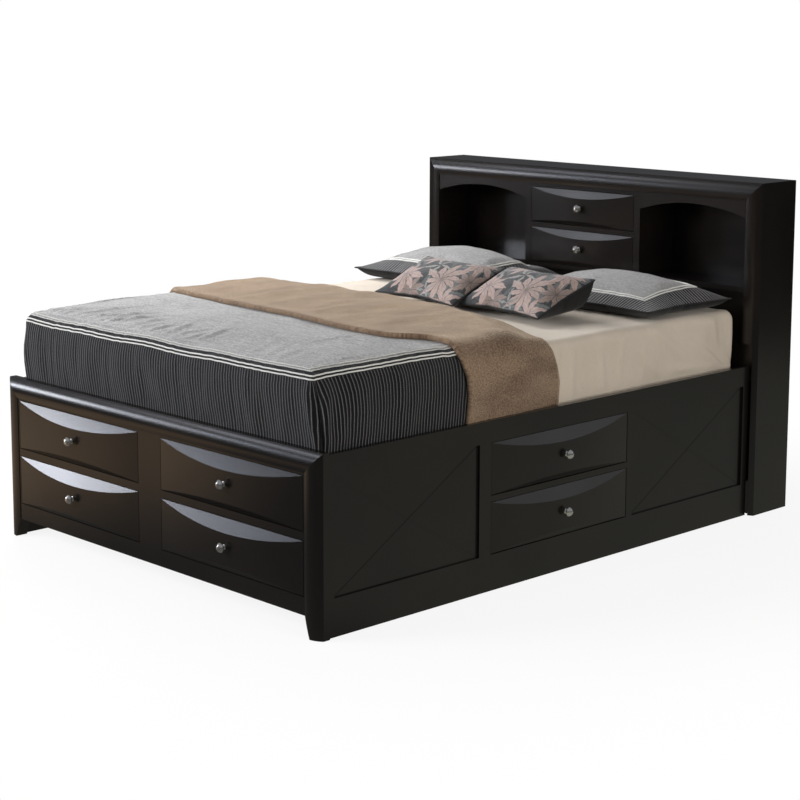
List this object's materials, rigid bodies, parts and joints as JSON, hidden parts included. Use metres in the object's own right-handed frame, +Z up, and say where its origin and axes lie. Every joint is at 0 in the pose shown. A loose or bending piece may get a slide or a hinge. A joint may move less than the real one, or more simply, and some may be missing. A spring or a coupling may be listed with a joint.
{
  "type": "storage panel bed",
  "caption": "Made-up wooden storage bed with a bookcase headboard, drawers in the foot end, both sides and the headboard, and bedding.",
  "frame": {"origin": "on the floor, at the middle of the bed's plan with its drawers shut", "axes": "+X across the bed to the right as seen from the foot end, +Y from the foot end to the headboard, +Z up"},
  "size_m": [1.715, 2.363, 1.219],
  "materials": {
    "black_wood": "semi-gloss black lacquer, the grain barely seen",
    "case_board": "dark stained board",
    "plain_wood": "clear satin lacquer",
    "brushed_nickel": "brushed satin",
    "zinc_steel": "plain zinc",
    "sheet_fabric": "smooth woven cotton",
    "comforter_fabric": "heather woven, pinstriped sides, white piping",
    "throw_fabric": "short plush",
    "sham_fabric": "pinstriped weave with white piping",
    "print_fabric": "printed weave"
  },
  "bodies": {
    "bed_frame": {"centre_support": "black_wood", "comforter": "comforter_fabric", "corner_brackets": "zinc_steel", "drawer_slides": "zinc_steel", "footboard_drawer_case": "case_board", "footboard_face_frame": "black_wood", "footboard_left_leg": "black_wood", "footboard_right_leg": "black_wood", "footboard_top_moulding": "black_wood", "headboard_back_panel": "black_wood", "headboard_dividers": "black_wood", "headboard_left_side": "black_wood", "headboard_lower_panel": "black_wood", "headboard_mouldings": "black_wood", "headboard_right_side": "black_wood", "headboard_shelf": "black_wood", "headboard_top_board": "black_wood", "headboard_valances": "black_wood", "left_accent_pillow": "print_fabric", "left_sham": "sham_fabric", "left_side_drawer_case": "case_board", "left_side_frame": "black_wood", "mattress": "sheet_fabric", "right_accent_pillow": "print_fabric", "right_sham": "sham_fabric", "right_side_drawer_case": "case_board", "right_side_frame": "black_wood", "side_panels": "black_wood", "slats": "plain_wood", "throw": "throw_fabric"},
    "foot_upper_left_drawer": {"foot_upper_left_drawer_front": "black_wood", "foot_upper_left_drawer_box": "plain_wood", "foot_upper_left_drawer_knob": "brushed_nickel"},
    "foot_lower_left_drawer": {"foot_lower_left_drawer_front": "black_wood", "foot_lower_left_drawer_box": "plain_wood", "foot_lower_left_drawer_knob": "brushed_nickel"},
    "foot_upper_right_drawer": {"foot_upper_right_drawer_front": "black_wood", "foot_upper_right_drawer_box": "plain_wood", "foot_upper_right_drawer_knob": "brushed_nickel"},
    "foot_lower_right_drawer": {"foot_lower_right_drawer_front": "black_wood", "foot_lower_right_drawer_box": "plain_wood", "foot_lower_right_drawer_knob": "brushed_nickel"},
    "left_side_upper_drawer": {"left_side_upper_drawer_front": "black_wood", "left_side_upper_drawer_box": "plain_wood", "left_side_upper_drawer_knob": "brushed_nickel"},
    "left_side_lower_drawer": {"left_side_lower_drawer_front": "black_wood", "left_side_lower_drawer_box": "plain_wood", "left_side_lower_drawer_knob": "brushed_nickel"},
    "right_side_upper_drawer": {"right_side_upper_drawer_front": "black_wood", "right_side_upper_drawer_box": "plain_wood", "right_side_upper_drawer_knob": "brushed_nickel"},
    "right_side_lower_drawer": {"right_side_lower_drawer_front": "black_wood", "right_side_lower_drawer_box": "plain_wood", "right_side_lower_drawer_knob": "brushed_nickel"},
    "headboard_upper_drawer": {"headboard_upper_drawer_front": "black_wood", "headboard_upper_drawer_box": "plain_wood", "headboard_upper_drawer_knob": "brushed_nickel"},
    "headboard_lower_drawer": {"headboard_lower_drawer_front": "black_wood", "headboard_lower_drawer_box": "plain_wood", "headboard_lower_drawer_knob": "brushed_nickel"}
  },
  "joints": [
    {"name": "foot_upper_left_slide", "type": "slide", "parent": "bed_frame", "child": "foot_upper_left_drawer", "axis": [0, -1, 0], "range_m": [0, 0.4]},
    {"name": "foot_lower_left_slide", "type": "slide", "parent": "bed_frame", "child": "foot_lower_left_drawer", "axis": [0, -1, 0], "range_m": [0, 0.4]},
    {"name": "foot_upper_right_slide", "type": "slide", "parent": "bed_frame", "child": "foot_upper_right_drawer", "axis": [0, -1, 0], "range_m": [0, 0.4]},
    {"name": "foot_lower_right_slide", "type": "slide", "parent": "bed_frame", "child": "foot_lower_right_drawer", "axis": [0, -1, 0], "range_m": [0, 0.4]},
    {"name": "left_side_upper_slide", "type": "slide", "parent": "bed_frame", "child": "left_side_upper_drawer", "axis": [-1, 0, 0], "range_m": [0, 0.34]},
    {"name": "left_side_lower_slide", "type": "slide", "parent": "bed_frame", "child": "left_side_lower_drawer", "axis": [-1, 0, 0], "range_m": [0, 0.34]},
    {"name": "right_side_upper_slide", "type": "slide", "parent": "bed_frame", "child": "right_side_upper_drawer", "axis": [1, 0, 0], "range_m": [0, 0.34]},
    {"name": "right_side_lower_slide", "type": "slide", "parent": "bed_frame", "child": "right_side_lower_drawer", "axis": [1, 0, 0], "range_m": [0, 0.34]},
    {"name": "headboard_upper_slide", "type": "slide", "parent": "bed_frame", "child": "headboard_upper_drawer", "axis": [0, -1, 0], "range_m": [0, 0.1]},
    {"name": "headboard_lower_slide", "type": "slide", "parent": "bed_frame", "child": "headboard_lower_drawer", "axis": [0, -1, 0], "range_m": [0, 0.1]}
  ]
}
